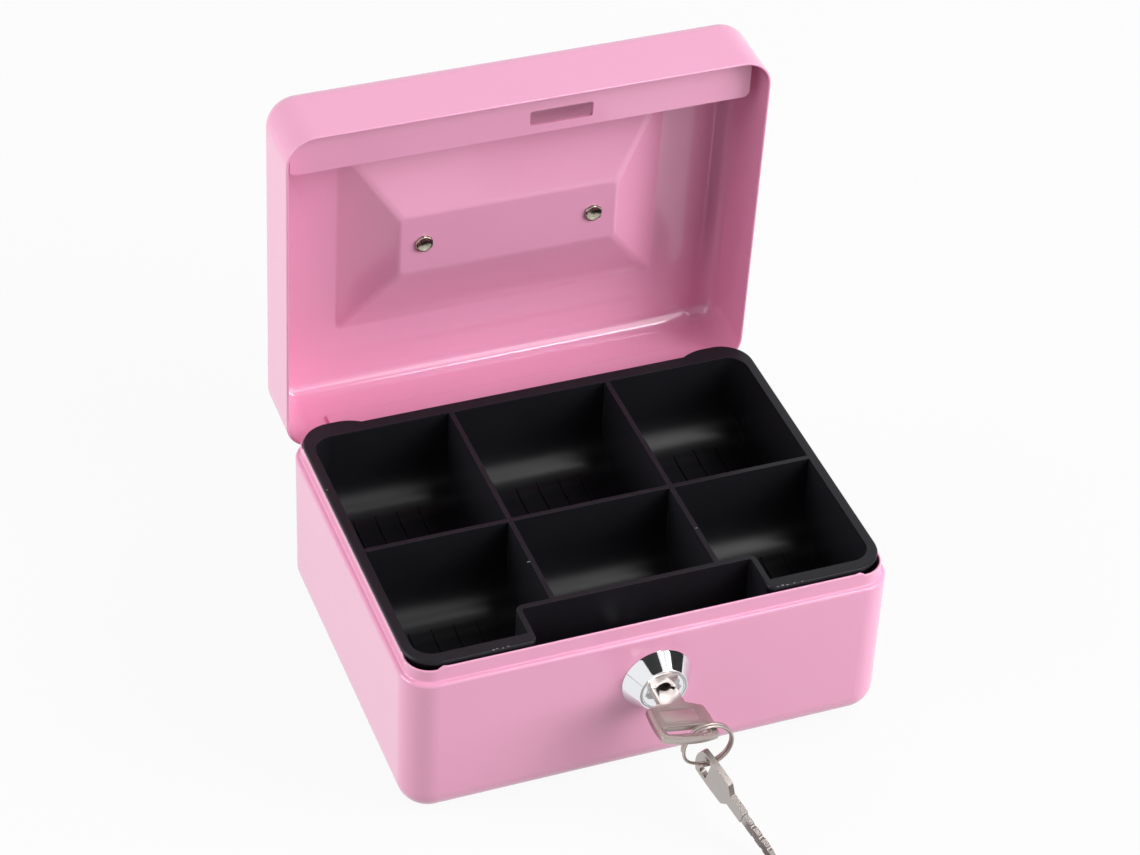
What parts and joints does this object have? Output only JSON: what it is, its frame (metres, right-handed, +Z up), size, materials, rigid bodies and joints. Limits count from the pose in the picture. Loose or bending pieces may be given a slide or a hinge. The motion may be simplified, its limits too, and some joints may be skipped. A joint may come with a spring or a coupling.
{
  "type": "cash box",
  "caption": "Pressed steel cash box with a hinged dished lid and folding carry handle, a lift-out coin tray, a front cam lock and keys on a ring.",
  "frame": {"origin": "middle of the flat underside of the base", "axes": "+Z up, -Y towards the lock, +Y towards the hinge, +X to the right of someone facing the lock"},
  "size_m": [0.152, 0.195, 0.1663],
  "materials": {
    "pink_enamel": "smooth glossy pink enamel",
    "hinge_steel": "bare steel",
    "plated_steel": "bright plated steel",
    "black_plastic": "satin black moulded plastic",
    "lock_chrome": "polished chrome",
    "zinc_steel": "zinc plated",
    "wafer_brass": "plain brass",
    "key_nickel": "nickel plated"
  },
  "bodies": {
    "base": {"base_shell": "pink_enamel", "hinge_base_leaf": "pink_enamel", "hinge_pin": "hinge_steel", "lock_housing": "lock_chrome", "lock_washer": "zinc_steel", "lock_nut": "zinc_steel"},
    "lid": {"lid_shell": "pink_enamel", "hinge_lid_leaf": "pink_enamel", "lid_striker_plate": "pink_enamel", "handle_bracket_left": "plated_steel", "handle_bracket_right": "plated_steel", "handle_rivets": "plated_steel"},
    "handle": {"carry_handle": "plated_steel"},
    "tray": {"cash_tray": "black_plastic"},
    "plug": {"lock_plug": "lock_chrome", "wafer_springs": "zinc_steel", "lock_cam": "zinc_steel", "cam_washer": "zinc_steel", "cam_screw": "zinc_steel"},
    "wafers_to_left": {"left_wafers": "wafer_brass"},
    "wafers_to_right": {"right_wafers": "wafer_brass"},
    "key": {"key": "key_nickel"},
    "ring": {"key_ring": "key_nickel"},
    "spare_key": {"spare_key": "key_nickel"}
  },
  "joints": [
    {"name": "lid_hinge", "type": "hinge", "parent": "base", "child": "lid", "pos_m": [0, 0.057, 0.0494], "axis": [-1, 0, 0], "range_deg": [-87.5, 0]},
    {"name": "handle_fold", "type": "hinge", "parent": "lid", "child": "handle", "pos_m": [0, 0.07859, 0.1074], "axis": [1, 0, 0], "range_deg": [0, 165]},
    {"name": "tray_lift", "type": "slide", "parent": "base", "child": "tray", "axis": [0, 0, 1], "range_m": [0, 0.04]},
    {"name": "plug_turn", "type": "hinge", "parent": "base", "child": "plug", "pos_m": [0.0008, -0.064, 0.035], "axis": [0, -1, 0], "range_deg": [0, 90]},
    {"name": "key_slide", "type": "slide", "parent": "plug", "child": "key", "axis": [0, -1, 0], "range_m": [0, 0.026]},
    {"name": "left_wafer_slide", "type": "slide", "parent": "plug", "child": "wafers_to_left", "axis": [-0.9816, 0, 0.1908], "range_m": [0, 0.0006]},
    {"name": "right_wafer_slide", "type": "slide", "parent": "plug", "child": "wafers_to_right", "axis": [0.9816, 0, -0.1908], "range_m": [0, 0.0006]},
    {"name": "ring_swing", "type": "hinge", "parent": "key", "child": "ring", "pos_m": [0.00875, -0.0823, 0.03345], "axis": [0, 1, 0], "range_deg": [-12, 4]},
    {"name": "spare_key_swing", "type": "hinge", "parent": "ring", "child": "spare_key", "pos_m": [0.00876, -0.0823, 0.02007], "axis": [0.9903, 0, 0.1392], "range_deg": [-40, 0]}
  ],
  "couplings": [
    {"joint": "left_wafer_slide", "follows": "key_slide", "ratio": 0.023077},
    {"joint": "right_wafer_slide", "follows": "key_slide", "ratio": 0.023077}
  ]
}
